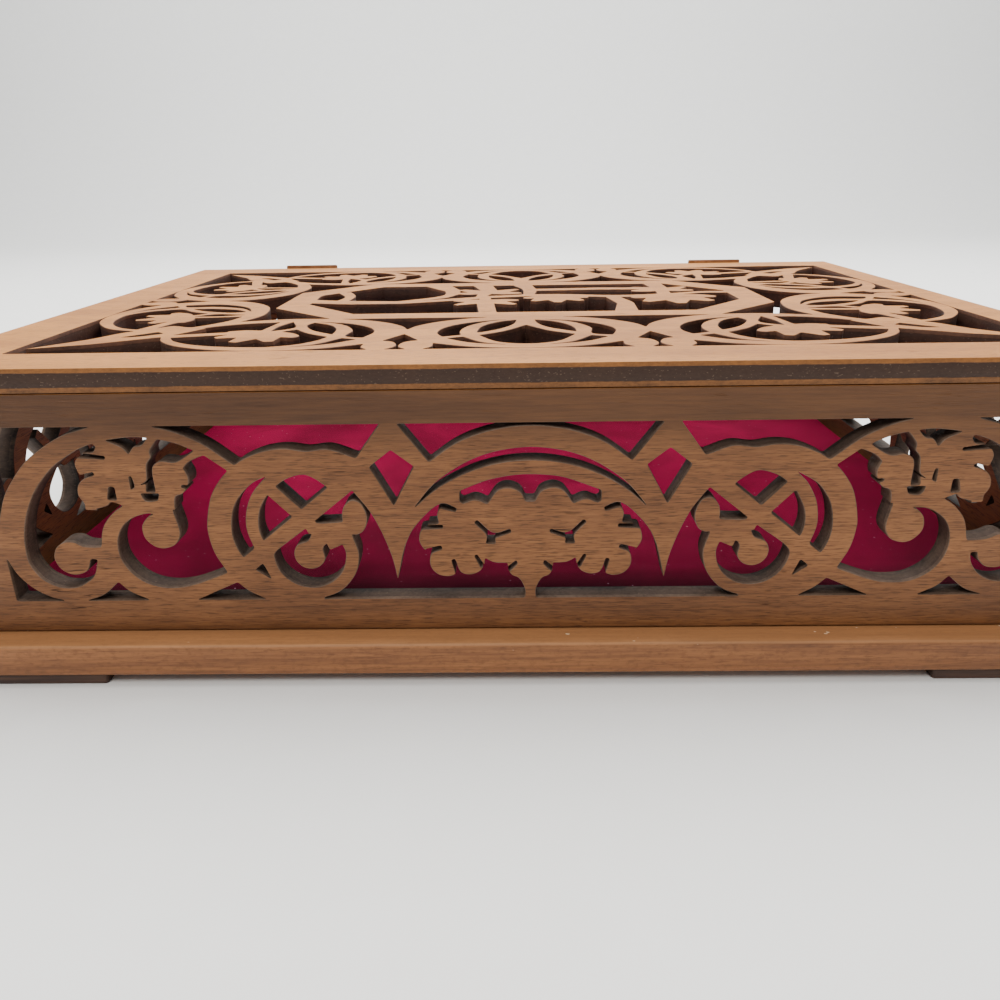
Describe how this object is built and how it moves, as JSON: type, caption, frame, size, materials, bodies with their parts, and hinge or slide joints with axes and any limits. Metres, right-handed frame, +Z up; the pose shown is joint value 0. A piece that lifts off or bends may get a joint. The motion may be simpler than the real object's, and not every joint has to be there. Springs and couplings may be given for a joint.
{
  "type": "keepsake box",
  "caption": "Hinged wooden keepsake box with scroll fretwork cut through its lid and walls, on a low base with a velvet floor pad.",
  "frame": {"origin": "on the table, under the middle of the base", "axes": "+X along the front to the right, +Y to the back with the hinges, +Z up"},
  "size_m": [0.321, 0.245, 0.0853],
  "materials": {
    "wall_wood": "thin satin varnish on laser-cut plywood, dark cut edges",
    "lid_wood": "thin satin varnish on laser-cut plywood, dark cut edges",
    "base_wood": "satin varnish, rounded edge",
    "foot_wood": "plain",
    "velvet": "short velvet pile",
    "hinge_metal": "dull bronzed"
  },
  "bodies": {
    "box": {"base_board": "base_wood", "foot_front_left": "foot_wood", "foot_rear_left": "foot_wood", "foot_front_right": "foot_wood", "foot_rear_right": "foot_wood", "front_wall": "wall_wood", "back_wall": "wall_wood", "left_wall": "wall_wood", "right_wall": "wall_wood", "floor_pad": "velvet", "hinge_left_wall_leaf": "hinge_metal", "hinge_left_pin": "hinge_metal", "hinge_right_wall_leaf": "hinge_metal", "hinge_right_pin": "hinge_metal"},
    "lid": {"lid_panel": "lid_wood", "hinge_left_lid_leaf": "hinge_metal", "hinge_right_lid_leaf": "hinge_metal"}
  },
  "joints": [
    {"name": "lid_hinge", "type": "hinge", "parent": "box", "child": "lid", "pos_m": [0, 0.11655, 0.07775], "axis": [-1, 0, 0], "range_deg": [0, 170]}
  ]
}
